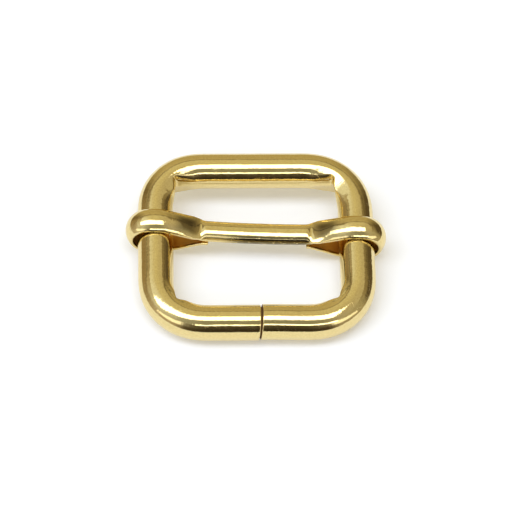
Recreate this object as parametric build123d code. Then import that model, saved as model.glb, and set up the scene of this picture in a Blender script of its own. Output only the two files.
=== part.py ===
"""Buckle slider: a bent wire frame with a bar that slides along its two side rails.

The frame lies flat. +X runs across the strap, +Y from the front bar to the back bar and +Z up.
The origin is under the middle of the frame, on the surface that the slider rests on.
"""
from build123d import *
import os

os.makedirs("parts", exist_ok=True)

# Driving dimensions, in millimetres.
strap_width = 25.0          # clear width between the side rails
slot_length = 21.1          # clear length between the front bar and the back bar
wire_diameter = 5.4
outer_corner_radius = 9.65

# How the wire was bent and cut.
mandrel_corner_radius = 1.3     # the inner corners follow the bending mandrel
mandrel_relief = 0.04           # the mandrel marks the bends only, not the straight wire
upset_reach = 3.0               # size of the swelling inside each bend, along the plane
upset_height = 0.25             # how far it stands above and below the wire
seam_x = 0.38                   # the butt joint lies a little right of the middle
seam_gap = 0.16
wire_end_rounding = 0.28

# The half-round strip that the bar is formed from.
strip_width = 3.9
strip_rim = 0.42                # thickness at the rims
strip_crown = 1.2               # thickness in the middle
strip_end_gap = 0.68            # between a rail and the end of its loop
strip_clearance = 0.14          # between a rail and the loop above and below it

# The middle of the bar, curled into a round bar with a seam underneath.
middle_length = 16.1
middle_width = 3.4
middle_height = 2.25
middle_rise = 0.17              # its centre above the wire's centre
middle_sag = 0.28               # it is bowed down by this much
curl_seam_width = 0.22
curl_seam_depth = 0.6

# The bends of the loops.
upper_layer_rise = 0.57         # inner face of the upper layer above the wire's centre, at the middle
lower_layer_drop = 0.12         # inner face of the tail under the wire's centre, at the middle
layer_overlap = 0.6             # both layers run on into the middle
knee_run = 0.3                  # from the middle's end to where the layers part
knee_radius = 1.5
shoulder_x = 14.3               # where the layers become level, over and under the rail
shoulder_radius = 4.0
end_radius = 2.6

# Where the bar rests: towards the back bar, a little askew.
bar_rest_y = 2.0
bar_skew = -2.6

# Worked out from the dimensions above.
wire_radius = wire_diameter / 2
frame_width = strap_width + wire_diameter
frame_length = slot_length + wire_diameter
bend_radius = outer_corner_radius - wire_radius
loop_inner_height = wire_radius + strip_clearance
loop_inner_end = frame_width / 2 + wire_radius + strip_end_gap
wire_centre_z = loop_inner_height + strip_crown
middle_end = middle_length / 2


def wire_centreline():
    """Centreline of the bent wire, from one side of the butt joint round to the other."""
    half_x = frame_width / 2
    half_y = frame_length / 2
    start = (seam_x + seam_gap / 2, -half_y)
    end = (seam_x - seam_gap / 2, -half_y)
    corners = [(half_x, -half_y), (half_x, half_y), (-half_x, half_y), (-half_x, -half_y)]
    return FilletPolyline(start, *corners, end, radius=bend_radius)


def bent_wire():
    """The round wire on its centreline, with the burrs rounded off its two sheared ends."""
    centreline = wire_centreline()
    section = Plane(origin=centreline @ 0, z_dir=centreline % 0) * Circle(wire_radius)
    wire = sweep(section, path=centreline)
    ends = wire.edges().filter_by_position(Axis.X, seam_x - seam_gap, seam_x + seam_gap)
    return fillet(ends.filter_by(GeomType.CIRCLE), radius=wire_end_rounding)


def upset_metal():
    """The swelling above and below the inside of each bend, where the metal was crowded."""
    swelling = scale(Sphere(1), by=(upset_reach, upset_reach, wire_radius + upset_height))
    inner_corners = GridLocations(strap_width, slot_length, 2, 2)
    return [corner * swelling for corner in inner_corners]


def bending_mandrel():
    """The block that the wire was bent round, which leaves flats inside the bends."""
    width = strap_width - 2 * mandrel_relief
    length = slot_length - 2 * mandrel_relief
    outline = RectangleRounded(width, length, mandrel_corner_radius)
    return extrude(outline, amount=wire_diameter, both=True)


def wire_frame():
    """The whole frame, flat on the wire's own mid-plane."""
    return bent_wire() + upset_metal() - bending_mandrel()


def strip_section():
    """Half-round section of the strip: flat on the inside (y = 0) and crowned outwards."""
    half = strip_width / 2
    foot_left = (-half, 0)
    foot_right = (half, 0)
    rim_right = (half, strip_rim)
    crown = (0, strip_crown)
    rim_left = (-half, strip_rim)
    outline = Polyline(rim_left, foot_left, foot_right, rim_right)
    outline += ThreePointArc(rim_right, crown, rim_left)
    return make_face(outline)


def loop_path():
    """Inner face of one end of the strip: out over the rail, round its end and back under it.

    Drawn in the XZ plane, with the wire's centre at z = 0.
    """
    knee = middle_end + knee_run
    return Plane.XZ * FilletPolyline(
        (middle_end - layer_overlap, upper_layer_rise),
        (knee, upper_layer_rise),
        (shoulder_x, loop_inner_height),
        (loop_inner_end, loop_inner_height),
        (loop_inner_end, -loop_inner_height),
        (shoulder_x, -loop_inner_height),
        (knee, -lower_layer_drop),
        (middle_end - layer_overlap, -lower_layer_drop),
        radius=[knee_radius, shoulder_radius, end_radius, end_radius, shoulder_radius, knee_radius],
    )


def end_loop():
    """The loop that goes round the right rail."""
    path = loop_path()
    start = Plane(origin=path @ 0, x_dir=(0, 1, 0), z_dir=path % 0)
    return sweep(start * strip_section(), path=path)


def curled_middle():
    """The round bar between the loops, bowed down a little, with a seam along its underside."""
    end_z = middle_rise + middle_sag
    bow = Plane.XZ * ThreePointArc((-middle_end, end_z), (0, middle_rise), (middle_end, end_z))
    section = Plane(origin=bow @ 0, x_dir=(0, 1, 0), z_dir=bow % 0)
    bar = sweep(section * Ellipse(middle_width / 2, middle_height / 2), path=bow)
    seam = Box(middle_length, curl_seam_width, 2 * curl_seam_depth)
    seam_z = middle_rise - middle_height / 2
    return bar - Pos(0, 0, seam_z) * seam


def slide_bar():
    """The whole bar, centred between the rails."""
    loop = end_loop()
    return curled_middle() + loop + mirror(loop, about=Plane.YZ)


lift = Pos(0, 0, wire_centre_z)
nodes = {
    "wire_frame": lift * wire_frame(),
    "slide_bar": lift * Pos(0, bar_rest_y, 0) * Rot(0, 0, bar_skew) * slide_bar(),
}

for name, shape in nodes.items():
    export_step(shape, f"parts/{name}.step")
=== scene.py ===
"""Looks of the buckle slider: a gold-plated wire frame and the strip bar that slides along it.

Sizes are in millimetres and become metres where a mesh or the camera is made.
"""
import math

import bpy
import numpy as np
from mathutils import Matrix, Vector


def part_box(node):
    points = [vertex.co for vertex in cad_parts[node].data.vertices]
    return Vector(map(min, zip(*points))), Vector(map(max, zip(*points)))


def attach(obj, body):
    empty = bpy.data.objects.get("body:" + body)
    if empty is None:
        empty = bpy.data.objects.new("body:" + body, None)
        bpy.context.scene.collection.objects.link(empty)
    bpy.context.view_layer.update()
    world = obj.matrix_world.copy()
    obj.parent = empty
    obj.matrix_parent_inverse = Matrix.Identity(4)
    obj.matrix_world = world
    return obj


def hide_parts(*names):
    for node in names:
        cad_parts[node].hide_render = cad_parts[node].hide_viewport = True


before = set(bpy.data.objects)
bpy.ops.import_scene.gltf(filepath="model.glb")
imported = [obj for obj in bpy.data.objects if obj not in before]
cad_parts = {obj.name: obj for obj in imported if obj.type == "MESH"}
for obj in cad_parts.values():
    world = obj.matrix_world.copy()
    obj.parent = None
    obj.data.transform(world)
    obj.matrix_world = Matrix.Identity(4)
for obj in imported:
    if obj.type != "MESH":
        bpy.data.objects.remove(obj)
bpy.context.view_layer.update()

MM = 0.001

# ---- Sizes taken from the frame ------------------------------------------------------------------

WIRE_RADIUS = 2.7
wire_lo, wire_hi = (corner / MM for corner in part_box("wire_frame"))
bar_lo, bar_hi = (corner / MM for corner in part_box("slide_bar"))
HALF_X = wire_hi.x - WIRE_RADIUS            # centreline of the side rails
HALF_Y = wire_hi.y - WIRE_RADIUS            # centreline of the front and back bars
WIRE_Z = (bar_lo.z + bar_hi.z) / 2          # height of the wire's centre
BAR_Y = (bar_lo.y + bar_hi.y) / 2           # where the slide bar rests

# ---- The bent wire -------------------------------------------------------------------------------

RING_POINTS = 128
STRAIGHT_STEP = 0.25
BEND_STEP_DEG = 1.0
EASED_STEP = 0.155
BEND_EASING = 3.2               # the bends start and stop gradually, over this length
CREASE_EASING = 0.5

# Each bend: the radius of its centreline, how far the mandrel's corner, which leaves a crease, stands
# away from the rail's and the bar's straight inner edges, and how much shallower the crease gets for
# each millimetre up.
BENDS = {
    "front_right": (6.95, 0.40, 0.25, 0.0),
    "back_right": (7.20, 0.22, 0.24, 0.28),
    "back_left": (6.60, 0.22, 0.24, 0.28),
    "front_left": (6.95, 0.30, 0.10, 0.0),
}
# The upper inside of the back bends was pressed nearly square: how far its corner stands away from the
# rail's and the bar's straight inner edges.
PRESSED = {"back_right": (0.85, 0.05), "back_left": (0.55, 0.05)}
PRESSED_ACROSS, PRESSED_UP = (0.6, 2.2), (-1.0, 0.7)    # where on the wire the pressing fades in
# The tool also left a flat on the upper inside of these bends: how deep, and how far it tilts.
TOOL_FLAT = {"back_right": 0.12, "back_left": 0.05}
TOOL_FLAT_TILT_DEG, TOOL_FLAT_SOFTNESS = 23.0, 0.03
CREASE_SLANT_DEG = 13.0         # the two flats of a crease lean this much away from the bars
CREASE_SOFTNESS = 0.22
LEAST_RATIO = 0.2               # least sine or cosine that the bend's straight edges are divided by
LEAN_FADE_DEG = 15.0
FLAT_EDGE_SOFTNESS = 0.25
FLAT_FADE = 2.0                 # the flats run out along the straight wire over this length
UPSET = 0.24                    # share by which crowded metal stands taller inside a bend
UPSET_FROM, UPSET_FULL = 1.0, 2.3   # how far inside the centreline it starts and is whole

# The butt joint in the front bar.
SEAM_X = 0.32
SEAM_GAP = 0.24
SEAM_LEAN_Z = 0.07              # the shear cut leans by this much for each millimetre up
SEAM_LEAN_Y = 0.02              # and by this much for each millimetre back
SEAM_REACH = 3.0                # how far along the wire its rings lean with the cut
END_ROUNDING = 0.18
END_ROUNDING_DEG = (22, 45, 67, 90)
# Rings on the sheared faces: their share of the wire's size, and how far they run on to the right of
# the cut. The left end's core runs into the right end, so that its dark cut face, painted shade of the
# joint, goes right down.
RIGHT_FACE = ((0.8, 0.0), (0.25, 0.0))
LEFT_FACE = ((0.85, 0.0), (0.85, 0.5), (0.25, 0.5))
CUT_FACE = -1.0                 # marks the sheared faces, dark with painted shade of the joint, see loft
PLATED_RINGS = 2                # as many rings of the rounding still count as plated
END_SHIFT_BACK, END_SHIFT_UP = 0.07, 0.07   # the two ends don't meet quite in line
END_SHIFT_REACH = 8.0

# ---- The slide bar -------------------------------------------------------------------------------

BAR_SKEW_DEG = -2.6
STRIP_WIDTH = 3.9
STRIP_RIM = 0.42
STRIP_CROWN = 1.2
RIM_ROUNDING = 0.11
LOOP_HEIGHT = 2.835             # inner face of the loop above and below the wire's centre
LOOP_END = 18.58                # inner face of the loop's end
SHOULDER_X = 14.3
SHOULDER_RADIUS = 4.0
KNEE_X = 8.35
KNEE_RADIUS = 1.5
UPPER_Z = 0.57                  # inner face of the upper layer where it meets the middle
LOWER_Z = -0.12                 # the same for the lower layer
END_RADIUS = 2.8
TAIL_END_LEFT = 7.3
TAIL_END_RIGHT = 7.75
MIDDLE_END = 8.05
MIDDLE_WIDTH = 3.4
MIDDLE_HEIGHT = 2.25
MIDDLE_RISE = 0.17
MIDDLE_SAG = 0.28
CURL_SEAM_WIDTH = 0.2
CURL_SEAM_DEPTH = 0.5
CURL_FROM, CURL_TO = 7.4, 8.8   # the curl opens out into the strip between these, along the path
CROWN_AT_CURL = 0.34            # share of the crown's rise that is left there
CROWN_LOW_UNTIL, CROWN_FULL_FROM = 8.6, 12.4
WIDTH_AT_CURL = 0.92            # share of the width that is left there
WIDTH_LOW_UNTIL, WIDTH_FULL_FROM = 8.6, 9.8
TAIL_CROWN = 0.25               # share of the crown's rise at the end of a tail
TAIL_CROWN_FROM, TAIL_CROWN_TO = 3.6, 0.2   # distances from the end between which it goes down
BAR_STEP = 0.1
PATH_SOFTENING = 0.3            # the bends of the strip start and stop over about this length
# How the end of a tail is rounded: how far on each ring stands, and its share of the section.
TAIL_ROUNDING = ((0.05, 0.985), (0.09, 0.94), (0.11, 0.87), (0.12, 0.6), (0.12, 0.3))


def smoothstep(x, start, end):
    """0 before start, 1 after end and a smooth rise between them."""
    t = np.clip((np.asarray(x, float) - start) / (end - start), 0, 1)
    return t * t * (3 - 2 * t)


def soft_max(a, b, softness):
    """The larger of a and b, with the crease where they cross rounded off."""
    overlap = np.clip(softness - np.abs(a - b), 0, None)
    return np.maximum(a, b) + overlap**2 / (4 * softness)


def soft_min(a, b, softness):
    return -soft_max(-a, -b, softness)


def distances(points):
    """How far along a row of points each of them lies."""
    steps = np.linalg.norm(np.diff(points, axis=0), axis=1)
    return np.concatenate([[0], np.cumsum(steps)])


def loft(name, rings, grain):
    """A closed skin over rings of points, each of the same length, as a smooth-shaded object.

    grain is a triple for each point, for the materials: its distance along and around the metal, and
    how the surface is: 0 polished, 1 rough as formed, -1 cut and dark with painted shade.
    """
    stations, around = rings.shape[:2]
    index = np.arange(stations * around).reshape(stations, around)
    next_around = np.roll(index, -1, axis=1)
    quads = np.stack([index[:-1], next_around[:-1], next_around[1:], index[1:]], axis=-1)
    faces = quads.reshape(-1, 4).tolist()
    points = rings.reshape(-1, 3)
    grain = grain.reshape(-1, 3)
    for ring in (0, -1):
        centre = len(points)
        points = np.vstack([points, rings[ring].mean(0)])
        grain = np.vstack([grain, grain[index[ring]].mean(0)])
        rim = index[ring] if ring == -1 else index[ring][::-1]
        faces += [(int(a), int(b), centre) for a, b in zip(rim, np.roll(rim, -1))]
    mesh = bpy.data.meshes.new(name)
    mesh.from_pydata((points * MM).tolist(), [], faces)
    mesh.shade_smooth()
    attribute = mesh.attributes.new("grain", "FLOAT_VECTOR", "POINT")
    attribute.data.foreach_set("vector", grain.astype(np.float32).ravel())
    mesh.validate()
    piece = bpy.data.objects.new(name, mesh)
    bpy.context.scene.collection.objects.link(piece)
    return piece


# ---- Wire frame ----------------------------------------------------------------------------------

def crease_cut(angle, radius, crease, slant):
    """How deep the mandrel's corner bites into the inside of a bend.

    angle runs from 0 at one end of the bend to 90 degrees at the other, and crease is the corner's
    distance from the bend's centre along the directions of 0 and 90 degrees. The corner's two sides lean
    away from the straight wire by slant degrees.
    """
    inner = radius - WIRE_RADIUS
    slant = math.radians(slant)
    near = crease[0] * math.cos(slant) + crease[1] * math.sin(slant)
    far = crease[0] * math.sin(slant) + crease[1] * math.cos(slant)
    near /= np.maximum(np.cos(angle - slant), LEAST_RATIO)
    far /= np.maximum(np.sin(angle + slant), LEAST_RATIO)
    reach = soft_min(near, far, CREASE_SOFTNESS)
    reach = soft_min(reach, inner / np.maximum(np.cos(angle), LEAST_RATIO), CREASE_SOFTNESS)
    reach = soft_min(reach, inner / np.maximum(np.sin(angle), LEAST_RATIO), CREASE_SOFTNESS)
    return reach - inner


def straight_stations(start, end, outward, corner_at_start, corner_at_end):
    """Stations along a straight stretch: x, y, outward x, outward y, cut, upset, lean, press, flat."""
    start, end = np.array(start, float), np.array(end, float)
    length = np.linalg.norm(end - start)
    t = np.linspace(0, 1, max(2, round(length / STRAIGHT_STEP) + 1))
    centre = start + t[:, None] * (end - start)
    before = t * length if corner_at_start else np.full(len(t), FLAT_FADE)
    after = (1 - t) * length if corner_at_end else np.full(len(t), FLAT_FADE)
    nearest = np.minimum(np.minimum(before, after), FLAT_FADE)
    cut = -CREASE_SOFTNESS / 4 - FLAT_EDGE_SOFTNESS * smoothstep(nearest, 0, FLAT_FADE)
    return np.column_stack([centre, np.tile(outward, (len(t), 1)), cut, np.zeros((len(t), 4))])


def bend_stations(name, start_deg):
    """Stations round one bend, in the same columns."""
    radius, from_rail, from_bar, lean = BENDS[name]
    centre = bend_centre(name)
    order = -1 if start_deg % 180 else 1
    crease = radius - WIRE_RADIUS - np.array([from_rail, from_bar])[::order]
    t = np.linspace(0, 90, round(90 / BEND_STEP_DEG) + 1)
    turn = np.radians(start_deg + t)
    outward = np.column_stack([np.cos(turn), np.sin(turn)])
    cut = crease_cut(np.radians(t), radius, crease, CREASE_SLANT_DEG)
    press = np.zeros(len(t))
    if name in PRESSED:
        corner = radius - WIRE_RADIUS - np.array(PRESSED[name])[::order]
        press = np.maximum(crease_cut(np.radians(t), radius, corner, 0), 0)
    upset = np.sin(np.radians(2 * t)) ** 2
    leans = lean * smoothstep(np.minimum(t, 90 - t), 0, LEAN_FADE_DEG)
    flat = TOOL_FLAT.get(name, 0) * upset
    return np.column_stack([centre + radius * outward, outward, cut, upset, leans, press, flat])


def bend_centre(name):
    """The point that a bend's centreline goes round."""
    radius = BENDS[name][0]
    side_x = 1 if name.endswith("right") else -1
    side_y = 1 if name.startswith("back") else -1
    return np.array([side_x * (HALF_X - radius), side_y * (HALF_Y - radius)])


def wire_stations():
    """Every station round the frame, counter-clockwise from the butt joint."""
    front_right, back_right = bend_centre("front_right"), bend_centre("back_right")
    back_left, front_left = bend_centre("back_left"), bend_centre("front_left")
    seam = (SEAM_X, -HALF_Y)
    parts = [
        straight_stations(seam, (front_right[0], -HALF_Y), (0, -1), False, True),
        bend_stations("front_right", -90),
        straight_stations((HALF_X, front_right[1]), (HALF_X, back_right[1]), (1, 0), True, True),
        bend_stations("back_right", 0),
        straight_stations((back_right[0], HALF_Y), (back_left[0], HALF_Y), (0, 1), True, True),
        bend_stations("back_left", 90),
        straight_stations((-HALF_X, back_left[1]), (-HALF_X, front_left[1]), (-1, 0), True, True),
        bend_stations("front_left", 180),
        straight_stations((front_left[0], -HALF_Y), seam, (0, -1), True, False),
    ]
    return np.vstack([parts[0]] + [part[1:] for part in parts[1:]])


def running_mean(rows, reach):
    """Each column averaged over that length, with the ends drawn on in a straight line."""
    half = round(reach / EASED_STEP / 2)
    steps = np.arange(half, 0, -1)[:, None]
    before = rows[0] + (rows[0] - rows[1]) * steps
    after = rows[-1] + (rows[-1] - rows[-2]) * steps[::-1]
    padded = np.vstack([before, rows, after])
    weights = np.full(2 * half + 1, 1 / (2 * half + 1))
    return np.column_stack([np.convolve(column, weights, "valid") for column in padded.T])


def eased(stations):
    """The same stations evenly spaced, with the bends and the creases eased in and out."""
    along = distances(stations[:, :2])
    places = np.linspace(0, along[-1], round(along[-1] / EASED_STEP))
    rows = np.column_stack([np.interp(places, along, column) for column in stations.T])
    course = running_mean(rows[:, :4], BEND_EASING)
    course[:, 2:4] /= np.linalg.norm(course[:, 2:4], axis=1)[:, None]
    return np.hstack([course, running_mean(rows[:, 4:], CREASE_EASING)])


def flattened(across, height, depth):
    """The section with the tool's flat pressed that deep into its upper inside."""
    tilt = math.radians(TOOL_FLAT_TILT_DEG)
    stands = height * math.cos(tilt) - across * math.sin(tilt)
    clear = 3 * TOOL_FLAT_SOFTNESS * (1 - smoothstep(depth, 0, TOOL_FLAT_SOFTNESS))
    pushed = soft_min(stands, WIRE_RADIUS + clear - depth, TOOL_FLAT_SOFTNESS) - stands
    return across - pushed * math.sin(tilt), height + pushed * math.cos(tilt)


def wire_rings(stations):
    """Rings of points round the wire, and how far each lies along and around it."""
    centre, outward = stations[:, :2], stations[:, 2:4]
    cut, upset, lean, press, flat = (stations[:, k:k + 1] for k in range(4, 9))
    theta = np.linspace(0, 2 * math.pi, RING_POINTS, endpoint=False)[None, :]
    across = WIRE_RADIUS * np.cos(theta)
    height = WIRE_RADIUS * np.sin(theta)
    inside = smoothstep(-across, UPSET_FROM, UPSET_FULL)
    height = height * (1 + UPSET * inside * upset)
    across = across + press * smoothstep(-across, *PRESSED_ACROSS) * smoothstep(height, *PRESSED_UP)
    across, height = flattened(across, height, flat)
    across = soft_max(across + 0 * cut, cut - WIRE_RADIUS - lean * height, FLAT_EDGE_SOFTNESS)
    x = centre[:, 0:1] + outward[:, 0:1] * across
    y = centre[:, 1:2] + outward[:, 1:2] * across
    rings = np.stack([x, y, height + 0 * x], axis=-1)
    grain = np.stack([distances(centre)[:, None] + 0 * x, WIRE_RADIUS * theta + 0 * x, 0 * x], axis=-1)
    return rings, grain


def cut_place(y, z, side):
    """How far along the front bar the shear cut lies, at that place on the wire's section."""
    return SEAM_X + side * SEAM_GAP / 2 + SEAM_LEAN_Z * z + SEAM_LEAN_Y * (y + HALF_Y)


def lean_with_cut(rings, start_x, side):
    """Slides the rings beside the joint along the wire, so that the first of them starts at start_x."""
    order = np.arange(len(rings))[::side]
    own_half = (order < len(rings) / 2)[:, None]
    on_front_bar = np.abs(rings[:, :, 1] + HALF_Y) < 1.5 * WIRE_RADIUS
    distance = side * (rings[:, :, 0] - SEAM_X)
    near = own_half & on_front_bar & (distance < SEAM_REACH)
    share = np.where(near, 1 - smoothstep(distance, 0, SEAM_REACH), 0)
    rings[:, :, 0] += share * (start_x - SEAM_X)


def end_rings(end, start_x, side):
    """Rings over the rounded edge and the sheared face of one end of the wire."""
    axis = np.array([0, -HALF_Y, 0])
    rings = []
    for angle in np.radians(END_ROUNDING_DEG):
        inset = END_ROUNDING * (1 - math.cos(angle))
        ring = axis + (end - axis) * (1 - inset / WIRE_RADIUS)
        ring[:, 0] = start_x - side * END_ROUNDING * math.sin(angle)
        rings.append(ring)
    for share, run_on in RIGHT_FACE if side == 1 else LEFT_FACE:
        ring = axis + (end - axis) * share
        ring[:, 0] = cut_place(ring[:, 1], ring[:, 2], side) + run_on
        rings.append(ring)
    return rings


def shear_end(rings, grain, side):
    """Leans one end of the wire along the shear cut and adds its rounded edge and its face.

    side is 1 for the end on the right of the joint and -1 for the end on the left.
    """
    first = 0 if side == 1 else -1
    end = rings[first].copy()
    start_x = cut_place(end[:, 1], end[:, 2], side) + side * END_ROUNDING
    lean_with_cut(rings, start_x, side)
    new_rings = end_rings(end, start_x, side)
    new_grain = np.repeat(grain[first][None], len(new_rings), axis=0)
    new_grain[:, :, 0] -= side * np.linspace(0.1, 0.7, len(new_rings))[:, None]
    new_grain[PLATED_RINGS:, :, 2] = CUT_FACE
    if side == 1:
        return np.concatenate([new_rings[::-1], rings]), np.concatenate([new_grain[::-1], grain])
    return np.concatenate([rings, new_rings]), np.concatenate([grain, new_grain])


def shift_right_end(rings):
    """Moves the wire's right end a little back and up from its left end."""
    x, y = rings[:, :, 0], rings[:, :, 1]
    first_half = np.arange(len(rings))[:, None] < len(rings) / 2
    on_front_bar = y < -HALF_Y + 1.5 * WIRE_RADIUS
    fade = 1 - smoothstep(x, SEAM_X, SEAM_X + END_SHIFT_REACH)
    share = np.where(first_half & on_front_bar, fade, 0)
    rings[:, :, 1] += END_SHIFT_BACK * share
    rings[:, :, 2] += END_SHIFT_UP * share
    return rings


def make_wire_frame():
    """The bent wire, from one face of the butt joint round to the other."""
    rings, grain = wire_rings(eased(wire_stations()))
    rings, grain = shear_end(rings, grain, 1)
    rings, grain = shear_end(rings, grain, -1)
    rings = shift_right_end(rings)
    rings[:, :, 2] += WIRE_Z
    return loft("bent_wire", rings, grain)


# ---- Slide bar -----------------------------------------------------------------------------------

def rounded_path(points, radii, step):
    """Points about one step apart along straight runs joined by arcs, with one radius a corner."""
    points = [np.array(p, float) for p in points]
    path = [points[0]]

    def run_to(target):
        start = path[-1]
        length = np.linalg.norm(target - start)
        count = max(1, round(length / step))
        path.extend(start + (target - start) * k / count for k in range(1, count + 1))

    for before, corner, after, radius in zip(points, points[1:], points[2:], radii):
        incoming = (corner - before) / np.linalg.norm(corner - before)
        outgoing = (after - corner) / np.linalg.norm(after - corner)
        cross = incoming[0] * outgoing[1] - incoming[1] * outgoing[0]
        turn = math.atan2(cross, incoming @ outgoing)
        trim = radius * math.tan(abs(turn) / 2)
        run_to(corner - incoming * trim)
        side = np.array([-incoming[1], incoming[0]]) * math.copysign(1, turn)
        centre = path[-1] + side * radius
        spoke = path[-1] - centre
        count = max(2, round(radius * abs(turn) / step))
        for k in range(1, count + 1):
            c, s = math.cos(turn * k / count), math.sin(turn * k / count)
            path.append(centre + np.array([c * spoke[0] - s * spoke[1], s * spoke[0] + c * spoke[1]]))
    run_to(points[-1])
    return np.array(path)


def softened(path, reach):
    """The same path with its curvature eased in and out over about that reach."""
    for _ in range(int((reach / BAR_STEP) ** 2)):
        inner = path[1:-1] + 0.25 * (path[:-2] - 2 * path[1:-1] + path[2:])
        path = np.vstack([path[:1], inner, path[-1:]])
    return path


def half_path(tail_end):
    """Inner face of one half of the strip in the XZ plane, from the middle to the end of its tail."""
    points = [
        (0, UPPER_Z),
        (KNEE_X, UPPER_Z),
        (SHOULDER_X, LOOP_HEIGHT),
        (LOOP_END, LOOP_HEIGHT),
        (LOOP_END, -LOOP_HEIGHT),
        (SHOULDER_X, -LOOP_HEIGHT),
        (KNEE_X, LOWER_Z),
        (tail_end, LOWER_Z),
    ]
    radii = [KNEE_RADIUS, SHOULDER_RADIUS, END_RADIUS, END_RADIUS, SHOULDER_RADIUS, KNEE_RADIUS]
    return softened(rounded_path(points, radii, BAR_STEP), PATH_SOFTENING)


def strip_outline():
    """Half-round section as points (across, outwards), flat inside and rounded at its rims.

    It runs from the middle of the flat round to the same place, counter-clockwise seen from +X. The
    points crowd together at the middle of the flat, which becomes the seam of the curl.
    """
    half = STRIP_WIDTH / 2
    r = RIM_ROUNDING
    rise = STRIP_CROWN - STRIP_RIM
    crown_radius = (half**2 + rise**2) / (2 * rise)
    half_angle = math.asin(half / crown_radius)
    centre_h = STRIP_CROWN - crown_radius
    flat = [(y, 0.0) for y in (0.0, 0.05, 0.1, 0.16, 0.3, 0.55, 0.85, 1.15, 1.4, half - r)]
    foot = [
        (half - r + r * math.sin(a), r - r * math.cos(a)) for a in np.radians([22, 45, 67, 90])
    ]
    rim_top = STRIP_RIM - 0.6 * r
    rim = [(half, (r + rim_top) / 2), (half, rim_top), (half - 0.02, STRIP_RIM - 0.1 * r)]
    crown = [
        (crown_radius * math.sin(a), centre_h + crown_radius * math.cos(a))
        for a in np.linspace(0.965 * half_angle, 0, 19)
    ]
    right = flat + foot + rim + crown
    left = [(-y, h) for y, h in right[-2:0:-1]]
    return np.array(right + left)


def oval_points(angle):
    """Points of the curled middle's oval, from its underside round by way of +Y."""
    return np.column_stack([MIDDLE_WIDTH / 2 * np.sin(angle), -MIDDLE_HEIGHT / 2 * np.cos(angle)])


def middle_outline(strip):
    """Oval of the curled middle, with one point for each point of the strip's outline."""
    around_strip = distances(np.vstack([strip, strip[:1]]))
    angle = np.linspace(0, 2 * math.pi, 2001)
    around_oval = distances(oval_points(angle))
    share = around_strip[:-1] / around_strip[-1]
    oval = oval_points(np.interp(share, around_oval / around_oval[-1], angle))
    seam = 1 - smoothstep(np.abs(oval[:, 0]), CURL_SEAM_WIDTH / 4, CURL_SEAM_WIDTH)
    oval[:, 1] += np.where(oval[:, 1] < 0, CURL_SEAM_DEPTH * seam, 0)
    return oval


def strip_rings(strip, along):
    """The strip's section at each place along it, flatter and narrower beside the curl."""
    crown = CROWN_AT_CURL + (1 - CROWN_AT_CURL) * smoothstep(along, CROWN_LOW_UNTIL, CROWN_FULL_FROM)
    to_end = along[-1] - along
    crown = crown * (TAIL_CROWN + (1 - TAIL_CROWN) * smoothstep(to_end, TAIL_CROWN_TO, TAIL_CROWN_FROM))
    width = WIDTH_AT_CURL + (1 - WIDTH_AT_CURL) * smoothstep(along, WIDTH_LOW_UNTIL, WIDTH_FULL_FROM)
    rings = np.repeat(strip[None], len(along), axis=0)
    over_rim = np.maximum(rings[:, :, 1] - STRIP_RIM, 0)
    rings[:, :, 1] -= over_rim * (1 - crown[:, None])
    rings[:, :, 0] *= width[:, None]
    return rings


def half_rings(tail_end):
    """Rings of one half of the bar, from its middle to the end of its tail, drawn for +X."""
    path = half_path(tail_end)
    along = distances(path)
    tangent = np.gradient(path, axis=0)
    tangent /= np.linalg.norm(tangent, axis=1)[:, None]
    outward = np.column_stack([-tangent[:, 1], tangent[:, 0]])
    strip = strip_outline()
    middle = np.repeat(middle_outline(strip)[None], len(path), axis=0)
    bow = MIDDLE_RISE + MIDDLE_SAG * (along / MIDDLE_END) ** 2
    middle[:, :, 1] += (bow - path[:, 1])[:, None]
    in_strip = smoothstep(along, CURL_FROM, CURL_TO)[:, None, None]
    section = middle * (1 - in_strip) + strip_rings(strip, along) * in_strip
    x = path[:, 0:1] + outward[:, 0:1] * section[:, :, 1]
    z = path[:, 1:2] + outward[:, 1:2] * section[:, :, 1]
    rings = np.stack([x, section[:, :, 0], z], axis=-1)
    inside = (strip[:, 1] < 1e-6) & (np.abs(strip[:, 0]) < STRIP_WIDTH / 2 - RIM_ROUNDING - 1e-6)
    rough = inside[None, :] * in_strip[:, :, 0]
    grain = np.stack([along[:, None] + 0 * x, distances(strip)[None, :] + 0 * x, rough + 0 * x], axis=-1)
    return rings, grain


def round_tail(rings, grain):
    """Closes the end of a tail with a rounded edge."""
    last, before = rings[-1], rings[-2]
    direction = (last - before).mean(0)
    direction /= np.linalg.norm(direction)
    middle = last.mean(0)
    new_rings, new_grain = [], []
    for advance, share in TAIL_ROUNDING:
        new_rings.append(middle + (last - middle) * share + direction * advance)
        new_grain.append(grain[-1] + np.array([advance, 0, 0]))
    return np.concatenate([rings, new_rings]), np.concatenate([grain, new_grain])


def make_slide_bar():
    """The whole bar, from the tip of its left tail to the tip of its right one."""
    right, right_grain = round_tail(*half_rings(TAIL_END_RIGHT))
    left, left_grain = round_tail(*half_rings(TAIL_END_LEFT))
    # The left half is the right one turned over in X, so its rings run the other way round.
    mirrored = left * np.array([-1, 1, 1])
    left_grain = left_grain * np.array([-1, 1, 1])
    rings = np.concatenate([mirrored[:0:-1], right])
    grain = np.concatenate([left_grain[:0:-1], right_grain])
    skew = math.radians(BAR_SKEW_DEG)
    x, y = rings[:, :, 0].copy(), rings[:, :, 1].copy()
    rings[:, :, 0] = x * math.cos(skew) - y * math.sin(skew)
    rings[:, :, 1] = x * math.sin(skew) + y * math.cos(skew) + BAR_Y
    rings[:, :, 2] += WIRE_Z
    return loft("strip_bar", rings, grain)


# ---- Node graphs ---------------------------------------------------------------------------------

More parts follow.
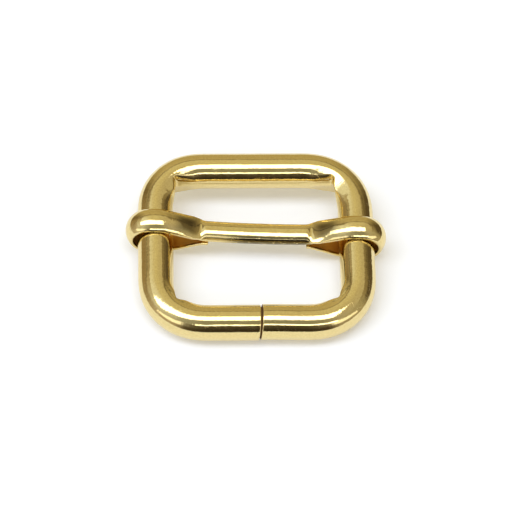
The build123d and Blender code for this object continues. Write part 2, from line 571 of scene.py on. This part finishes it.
class Graph:
    """Short names for building a node tree."""

    def __init__(self, tree):
        self.nodes, self.links = tree.nodes, tree.links

    def feed(self, socket, value):
        if isinstance(value, bpy.types.NodeSocket):
            self.links.new(value, socket)
        else:
            socket.default_value = value

    def maths(self, operation, *values):
        node = self.nodes.new("ShaderNodeMath")
        node.operation = operation
        for socket, value in zip(node.inputs, values):
            self.feed(socket, value)
        return node.outputs[0]

    def rise(self, value, start, end):
        """0 before start, 1 after end and a smooth rise between them."""
        node = self.nodes.new("ShaderNodeMapRange")
        node.interpolation_type = "SMOOTHSTEP"
        self.feed(node.inputs["Value"], value)
        node.inputs["From Min"].default_value = start
        node.inputs["From Max"].default_value = end
        return node.outputs[0]

    def between(self, value, start, end, softness):
        """1 between start and end, with edges that soft."""
        rising = self.rise(value, start - softness / 2, start + softness / 2)
        falling = self.rise(value, end + softness / 2, end - softness / 2)
        return self.maths("MULTIPLY", rising, falling)

    def ramp(self, value, low, high, stops):
        """The colour at value, between stops that run from low to high."""
        share = self.maths("DIVIDE", self.maths("SUBTRACT", value, low), high - low)
        node = self.nodes.new("ShaderNodeValToRGB")
        elements = node.color_ramp.elements
        while len(elements) < len(stops):
            elements.new(1.0)
        for element, (place, colour) in zip(elements, stops):
            element.position = (place - low) / (high - low)
            element.color = (*colour, 1)
        self.feed(node.inputs[0], share)
        return node.outputs[0]

    def mix(self, share, a, b, how="MIX"):
        node = self.nodes.new("ShaderNodeMix")
        node.data_type = "RGBA"
        node.blend_type = how
        self.feed(node.inputs["Factor"], share)
        self.feed(node.inputs["A"], a)
        self.feed(node.inputs["B"], b)
        return node.outputs["Result"]

    def blend(self, share, a, b):
        """a number between a and b."""
        return self.maths("ADD", a, self.maths("MULTIPLY", share, b - a))

    def noise(self, place, detail=2.0, roughness=0.5):
        """Smooth noise from 0 to 1, one cell for each unit of place."""
        node = self.nodes.new("ShaderNodeTexNoise")
        self.feed(node.inputs["Vector"], place)
        node.inputs["Scale"].default_value = 1.0
        node.inputs["Detail"].default_value = detail
        node.inputs["Roughness"].default_value = roughness
        return node.outputs[0]


# ---- Materials -----------------------------------------------------------------------------------

# Plating: how large its marks are along and around the metal, and how high, in millimetres.
RIPPLE_SIZE = (0.40, 2.2)       # chatter marks across the metal, left by drawing and bending it
RIPPLE_HEIGHT = 0.016
DRAWING_SIZE = (9.0, 0.13)      # fine lines along the metal
DRAWING_HEIGHT = 0.0016
DENT_SIZE = (0.8, 0.6)
DENT_HEIGHT = 0.009
SCRATCH_SIZE = (3.2, 0.05)
SCRATCH_DEPTH = 0.003
SCRATCH_LEANS = (0.35, -0.6, 1.2)   # the scratches run three ways, in radians from lengthwise
SCRATCH_FROM = 0.69             # where the noise of the scratches is above this, there is one
PATCH_SIZE = (4.0, 3.0)         # patches where the ripple and the haze are stronger
GOLD = (0.80, 0.645, 0.295)
PALE_GOLD = (0.82, 0.68, 0.33)
INNER_FACE_ORANGE = (0.76, 0.46, 0.13)   # faces that stay as formed, tinted deeper orange as painted light bouncing between strip and rail
DULL_GOLD = (0.62, 0.48, 0.20)
SPECKLE_SIZE, SPECKLE_SHADE = (0.28, 0.24), 0.38
# Bare sheared metal, dark brown as painted shade of the narrow joint.
CUT_METAL_AND_JOINT_SHADE = (0.20, 0.10, 0.03)
POLISHED, HAZY, RAW, CUT = 0.07, 0.17, 0.42, 0.9    # roughness

# Places on the strip, in millimetres along it from its middle and around it from under its middle.
LOW_FRONT = (5.55, 8.6)         # around it: low on the front of the curled middle
# Painted shade: the brown mixed in low on the front of the curled middle and on the loops' slopes.
PAINTED_SHADE_BROWN = (0.16, 0.13, 0.07)
# Where, in what blotches and how strongly the painted shade lies low on the front of the curled middle.
LOW_SHADE_ALONG, LOW_SHADE_BLOTCH_SIZE, LOW_SHADE_AMOUNT = (-6.0, -1.5), (0.5, 0.3), 0.95
WORN_ALONG, WORN = (0.5, -4.5), 0.30
# Painted shade darkens the slopes of the loops towards the middle.
SLOPE_SHADE_ALONG, SLOPE_SHADE_AROUND, SLOPE_SHADE_AMOUNT = (9.5, 12.7), (3.3, 5.8), 0.68
SLOPE_SHADE_FADE_ALONG, SLOPE_SHADE_FADE_AROUND = 1.8, 1.2


class Plating(Graph):
    """Node tree of one kind of plating, with marks that follow the metal."""

    def __init__(self, tree, seed):
        super().__init__(tree)
        self.seed = seed
        attribute = self.nodes.new("ShaderNodeAttribute")
        attribute.attribute_name = "grain"
        separate = self.nodes.new("ShaderNodeSeparateXYZ")
        self.links.new(attribute.outputs["Vector"], separate.inputs[0])
        self.along, self.around, self.surface = separate.outputs

    def marks(self, size, layer, lean=0.0, detail=2.0):
        """Noise with cells of that size along and around the metal, turned by lean."""
        c, s = math.cos(lean), math.sin(lean)
        from_along = [self.maths("MULTIPLY", self.along, factor) for factor in (c, -s)]
        from_around = [self.maths("MULTIPLY", self.around, factor) for factor in (s, c)]
        combine = self.nodes.new("ShaderNodeCombineXYZ")
        for axis in range(2):
            place = self.maths("ADD", from_along[axis], from_around[axis])
            self.links.new(self.maths("DIVIDE", place, size[axis]), combine.inputs[axis])
        combine.inputs[2].default_value = 17.3 * self.seed + 5.1 * layer
        return self.noise(combine.outputs[0], detail)

    def scratched(self):
        """1 in the scratches, which come in patches."""
        ways = [
            self.rise(self.marks(SCRATCH_SIZE, 4 + k, lean), SCRATCH_FROM, SCRATCH_FROM + 0.06)
            for k, lean in enumerate(SCRATCH_LEANS)
        ]
        scratches = self.maths("MAXIMUM", self.maths("MAXIMUM", *ways[:2]), ways[2])
        return self.maths("MULTIPLY", scratches, self.rise(self.marks(PATCH_SIZE, 8), 0.5, 0.62))

    def relief(self, patches, dents, scratched):
        """Normals over the ripples, the drawing lines, the dents and the scratches."""
        ripple = self.maths("MULTIPLY", self.marks(RIPPLE_SIZE, 1), self.blend(patches, 0.6, 1.6))
        height = self.maths("MULTIPLY", ripple, RIPPLE_HEIGHT)
        drawing = self.marks(DRAWING_SIZE, 2)
        height = self.maths("ADD", height, self.maths("MULTIPLY", drawing, DRAWING_HEIGHT))
        height = self.maths("ADD", height, self.maths("MULTIPLY", dents, DENT_HEIGHT))
        height = self.maths("SUBTRACT", height, self.maths("MULTIPLY", scratched, SCRATCH_DEPTH))
        bump = self.nodes.new("ShaderNodeBump")
        bump.inputs["Strength"].default_value = 1.0
        bump.inputs["Distance"].default_value = MM
        self.links.new(height, bump.inputs["Height"])
        return bump.outputs[0]

    def painted_shade_and_wear(self, gold, roughness):
        """The same with painted shade low on the curled middle's front and on the loops' slopes, and
        worn places.
        """
        from_middle = self.maths("ABSOLUTE", self.along)
        on_middle = self.rise(from_middle, CURL_TO, CURL_FROM)
        low_front = self.maths("MULTIPLY", self.between(self.around, *LOW_FRONT, 0.5), on_middle)
        # Painted shade, in blotches, low on the front of the curled middle.
        low_shade = self.maths("MULTIPLY", low_front, self.rise(self.marks(LOW_SHADE_BLOTCH_SIZE, 10), 0.2, 0.45))
        low_shade = self.maths("MULTIPLY", low_shade, self.rise(self.along, *LOW_SHADE_ALONG))
        gold = self.mix(self.maths("MULTIPLY", low_shade, LOW_SHADE_AMOUNT), gold, (*PAINTED_SHADE_BROWN, 1))
        worn = self.maths("MULTIPLY", low_front, self.rise(self.along, *WORN_ALONG))
        roughness = self.maths("MAXIMUM", roughness, self.maths("MULTIPLY", worn, WORN))
        # Painted shade on the slopes of the loops.
        slope_shade = self.between(from_middle, *SLOPE_SHADE_ALONG, SLOPE_SHADE_FADE_ALONG)
        slope_shade_crown = self.between(self.around, *SLOPE_SHADE_AROUND, SLOPE_SHADE_FADE_AROUND)
        slope_shade = self.maths("MULTIPLY", slope_shade, slope_shade_crown)
        gold = self.mix(self.maths("MULTIPLY", slope_shade, SLOPE_SHADE_AMOUNT), gold, (*PAINTED_SHADE_BROWN, 1))
        return gold, roughness


def gold_plating(name, seed, shade_and_wear=False):
    """Bright brass plating with ripples, lengthwise drawing lines and light handling marks.

    With shade and wear it has painted shade low on the front of the curled middle and on the loops'
    slopes.
    """
    material = bpy.data.materials.new(name)
    material.use_nodes = True
    g = Plating(material.node_tree, seed)
    shader = g.nodes["Principled BSDF"]
    patches = g.rise(g.marks(PATCH_SIZE, 0), 0.35, 0.65)
    dents = g.marks(DENT_SIZE, 3)
    scratched = g.scratched()
    haze = g.maths("MULTIPLY", patches, g.rise(dents, 0.4, 0.7))
    as_formed, as_cut = g.rise(g.surface, 0, 1), g.rise(g.surface, 0, CUT_FACE)

    roughness = g.blend(g.maths("MAXIMUM", haze, scratched), POLISHED, HAZY)
    roughness = g.maths("MAXIMUM", roughness, g.maths("MULTIPLY", as_formed, RAW))
    roughness = g.maths("MAXIMUM", roughness, g.maths("MULTIPLY", as_cut, CUT))
    gold = g.mix(dents, (*GOLD, 1), (*PALE_GOLD, 1))
    speckle = g.rise(g.marks(SPECKLE_SIZE, 9, 0.0, 3.0), 0.30, 0.72)
    gold = g.mix(g.maths("MULTIPLY", speckle, SPECKLE_SHADE), gold, (*DULL_GOLD, 1))
    # The faces left as formed are rough, and tinted deeper orange as painted bounce light between strip
    # and rail.
    gold = g.mix(as_formed, gold, (*INNER_FACE_ORANGE, 1))
    # Painted shade on the strip, and its worn, rougher places.
    if shade_and_wear:
        gold, roughness = g.painted_shade_and_wear(gold, roughness)

    g.links.new(g.relief(patches, dents, scratched), shader.inputs["Normal"])
    g.links.new(roughness, shader.inputs["Roughness"])
    # Cut faces: bare and rough, not metallic, and dark brown as painted shade in the joint.
    g.links.new(g.mix(as_cut, gold, (*CUT_METAL_AND_JOINT_SHADE, 1)), shader.inputs["Base Color"])
    g.links.new(g.maths("SUBTRACT", 1.0, as_cut), shader.inputs["Metallic"])
    return material


# The board's colour, and a faint warm glow that lifts its shadows.
BOARD = (0.76, 0.825, 0.975)
BOARD_GLOW, BOARD_GLOW_STRENGTH = (1.0, 0.88, 0.68), 0.25


def white_floor():
    """Matt white, as of the board that the slider lies on."""
    material = bpy.data.materials.new("white floor")
    material.use_nodes = True
    shader = material.node_tree.nodes["Principled BSDF"]
    shader.inputs["Base Color"].default_value = (*BOARD, 1)
    shader.inputs["Roughness"].default_value = 0.9
    shader.inputs["Specular IOR Level"].default_value = 0.0
    shader.inputs["Emission Color"].default_value = (*BOARD_GLOW, 1)
    shader.inputs["Emission Strength"].default_value = BOARD_GLOW_STRENGTH
    return material


# ---- Studio --------------------------------------------------------------------------------------

FLOOR_LEFT, FLOOR_RIGHT, FLOOR_FRONT, FLOOR_BACK = -45.0, 48.0, -47.0, 56.0
FRONT_BAR_Z = WIRE_Z - WIRE_RADIUS
FLOOR_SLOPE = FRONT_BAR_Z / (HALF_Y + BAR_Y)    # the slider leans on its loops and its front bar

# Colours of the surroundings, linear, by bearing in degrees: 0 behind the slider, positive to the
# right, 180 at the camera. First just above the floor, then half way up, then the ceiling.
WALL_FOOT = [
    (-180, (0.045, 0.036, 0.024)),
    (-155, (0.10, 0.08, 0.055)),
    (-138, (0.50, 0.44, 0.38)),
    (-110, (0.60, 0.54, 0.48)),
    (-88, (0.44, 0.37, 0.27)),
    (-62, (0.37, 0.28, 0.16)),
    (-46, (0.20, 0.15, 0.08)),
    (-30, (0.46, 0.38, 0.21)),
    (-18, (0.57, 0.48, 0.26)),
    (15, (0.54, 0.45, 0.24)),
    (32, (0.34, 0.28, 0.15)),
    (52, (0.12, 0.09, 0.05)),
    (82, (0.13, 0.10, 0.06)),
    (98, (0.46, 0.41, 0.29)),
    (138, (0.42, 0.37, 0.31)),
    (155, (0.08, 0.06, 0.04)),
    (180, (0.045, 0.036, 0.024)),
]
WALL_TOP = [
    (-180, (0.075, 0.062, 0.045)),
    (-160, (0.20, 0.18, 0.15)),
    (-140, (0.50, 0.48, 0.46)),
    (-100, (0.78, 0.78, 0.74)),
    (-62, (0.53, 0.46, 0.32)),
    (-42, (0.36, 0.30, 0.19)),
    (-20, (0.62, 0.53, 0.32)),
    (0, (0.58, 0.49, 0.27)),
    (25, (0.50, 0.42, 0.23)),
    (48, (0.27, 0.215, 0.12)),
    (75, (0.32, 0.26, 0.15)),
    (100, (0.49, 0.45, 0.32)),
    (140, (0.50, 0.46, 0.38)),
    (160, (0.20, 0.18, 0.15)),
    (180, (0.075, 0.062, 0.045)),
]
CEILING = [
    (-180, (0.33, 0.33, 0.29)),
    (-140, (0.46, 0.47, 0.45)),
    (-100, (0.92, 0.95, 0.95)),
    (-55, (0.92, 0.92, 0.85)),
    (-25, (0.76, 0.70, 0.50)),
    (0, (0.74, 0.67, 0.43)),
    (40, (0.62, 0.55, 0.37)),
    (80, (0.60, 0.54, 0.38)),
    (120, (0.52, 0.48, 0.40)),
    (160, (0.33, 0.33, 0.28)),
    (180, (0.33, 0.33, 0.29)),
]
# Heights of the unit direction where one gives way to the next.
FOOT_TO_TOP = (0.24, 0.50)
TOP_TO_CEILING = (0.63, 0.69)

# The lamp overhead, in the plane one unit up: across, and towards the camera.
LAMP_ACROSS, LAMP_TOWARDS, LAMP_SOFT = (-1.12, 0.38), (-0.165, 0.25), 0.12
LAMP_RADIANCE = 3.6
# Windows beside the camera, and the gap above it, in the plane one unit in front: across, and up.
WINDOW_ACROSS, WINDOW_UP, WINDOW_SOFT = (0.62, 3.0), (0.42, 1.02), 0.22
WINDOW_RADIANCE = 1.0
GAP_ACROSS, GAP_UP, GAP_SOFT = (-0.22, 0.90), (0.88, 1.11), 0.10
GAP_RADIANCE = 3.0
# A dark cornice along the top of the wall behind.
CORNICE_LEAN, CORNICE_SOFT, CORNICE_SHADE = (-50.5, -46.5), 3.0, 0.6


def room_colour(g, x, y, z):
    """Walls and ceiling, which change with the bearing, and the cornice behind."""
    bearing = g.maths("DEGREES", g.maths("ARCTAN2", x, y))
    foot, top, ceiling = (g.ramp(bearing, -180, 180, stops) for stops in (WALL_FOOT, WALL_TOP, CEILING))
    room = g.mix(g.rise(z, *FOOT_TO_TOP), foot, top)
    room = g.mix(g.rise(z, *TOP_TO_CEILING), room, ceiling)
    lean = g.maths("DEGREES", g.maths("ARCTAN2", g.maths("MULTIPLY", y, -1.0), z))
    cornice = g.between(lean, *CORNICE_LEAN, CORNICE_SOFT)
    return g.mix(g.maths("MULTIPLY", cornice, CORNICE_SHADE), room, (0, 0, 0, 1))


def lights(g, x, y, z):
    """The lamp overhead, the two windows beside the camera and the gap above it, added up."""
    towards = g.maths("MULTIPLY", y, -1.0)
    height = g.maths("MAXIMUM", z, 0.01)
    lamp_across = g.between(g.maths("DIVIDE", x, height), *LAMP_ACROSS, LAMP_SOFT)
    lamp_towards = g.between(g.maths("DIVIDE", towards, height), *LAMP_TOWARDS, LAMP_SOFT)
    lamp = g.maths("MULTIPLY", lamp_across, lamp_towards)

    depth = g.maths("MAXIMUM", towards, 0.01)
    aside, up = g.maths("DIVIDE", x, depth), g.maths("DIVIDE", z, depth)
    window = g.between(g.maths("ABSOLUTE", aside), *WINDOW_ACROSS, WINDOW_SOFT)
    window = g.maths("MULTIPLY", window, g.between(up, *WINDOW_UP, WINDOW_SOFT))
    gap = g.maths("MULTIPLY", g.between(aside, *GAP_ACROSS, GAP_SOFT), g.between(up, *GAP_UP, GAP_SOFT))

    total = g.maths("MULTIPLY", lamp, LAMP_RADIANCE)
    total = g.maths("ADD", total, g.maths("MULTIPLY", window, WINDOW_RADIANCE))
    return g.maths("ADD", total, g.maths("MULTIPLY", gap, GAP_RADIANCE))


def make_sky():
    """Studio surroundings: warm walls, a broad soft lamp overhead and windows beside the camera."""
    world = bpy.data.worlds.new("studio")
    bpy.context.scene.world = world
    world.use_nodes = True
    world.node_tree.nodes.clear()
    g = Graph(world.node_tree)
    direction = g.nodes.new("ShaderNodeTexCoord").outputs["Generated"]
    separate = g.nodes.new("ShaderNodeSeparateXYZ")
    g.links.new(direction, separate.inputs[0])
    x, y, z = separate.outputs
    background = g.nodes.new("ShaderNodeBackground")
    colour = g.mix(1.0, room_colour(g, x, y, z), lights(g, x, y, z), "ADD")
    g.links.new(colour, background.inputs["Color"])
    output = g.nodes.new("ShaderNodeOutputWorld")
    g.links.new(background.outputs[0], output.inputs["Surface"])


def make_floor():
    """A pale board, tilted as the slider leans on it."""
    corners = [
        (FLOOR_LEFT, FLOOR_FRONT),
        (FLOOR_RIGHT, FLOOR_FRONT),
        (FLOOR_RIGHT, FLOOR_BACK),
        (FLOOR_LEFT, FLOOR_BACK),
    ]
    points = [(x * MM, y * MM, (BAR_Y - y) * FLOOR_SLOPE * MM) for x, y in corners]
    mesh = bpy.data.meshes.new("floor")
    mesh.from_pydata(points, [], [(0, 1, 2, 3)])
    floor = bpy.data.objects.new("floor", mesh)
    bpy.context.scene.collection.objects.link(floor)
    floor.data.materials.append(white_floor())


# Camera: where it stands, in degrees and millimetres, and how far it looks past the wire's centre.
CAMERA_ELEVATION = 60.0
CAMERA_AZIMUTH = 4.38
CAMERA_ROLL = -3.5
CAMERA_DISTANCE = 456.0
CAMERA_ASIDE = -0.056
CAMERA_UP = 1.5615
LENS = 212.1


def make_camera():
    """A long lens, which looks down on the slider from the front."""
    camera = bpy.data.cameras.new("camera")
    camera.lens = LENS
    camera.sensor_width = 36.0
    camera.clip_start = 0.01
    camera.clip_end = 10
    holder = bpy.data.objects.new("camera", camera)
    bpy.context.scene.collection.objects.link(holder)
    bpy.context.scene.camera = holder
    tilt = math.radians(CAMERA_ELEVATION)
    right = Vector((1, 0, 0))
    forward = Vector((0, math.cos(tilt), -math.sin(tilt)))
    up = Vector((0, math.sin(tilt), math.cos(tilt)))
    place = -CAMERA_DISTANCE * forward - CAMERA_ASIDE * right - CAMERA_UP * up
    roll = math.radians(CAMERA_ROLL)
    rolled_right = math.cos(roll) * right - math.sin(roll) * up
    rolled_up = math.sin(roll) * right + math.cos(roll) * up
    turned = Matrix((rolled_right, rolled_up, -forward)).transposed()
    azimuth = Matrix.Rotation(-math.radians(CAMERA_AZIMUTH), 3, "Z")
    place = azimuth @ place + Vector((0, 0, WIRE_Z))
    holder.matrix_world = Matrix.Translation(place * MM) @ (azimuth @ turned).to_4x4()


bent_wire = make_wire_frame()
bent_wire.data.materials.append(gold_plating("wire plating", 1))
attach(bent_wire, "frame")
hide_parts("wire_frame")

strip_bar = make_slide_bar()
strip_bar.data.materials.append(gold_plating("strip plating", 2, shade_and_wear=True))
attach(strip_bar, "bar")
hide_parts("slide_bar")

make_floor()
make_sky()
make_camera()
bpy.context.scene.view_settings.view_transform = "Standard"
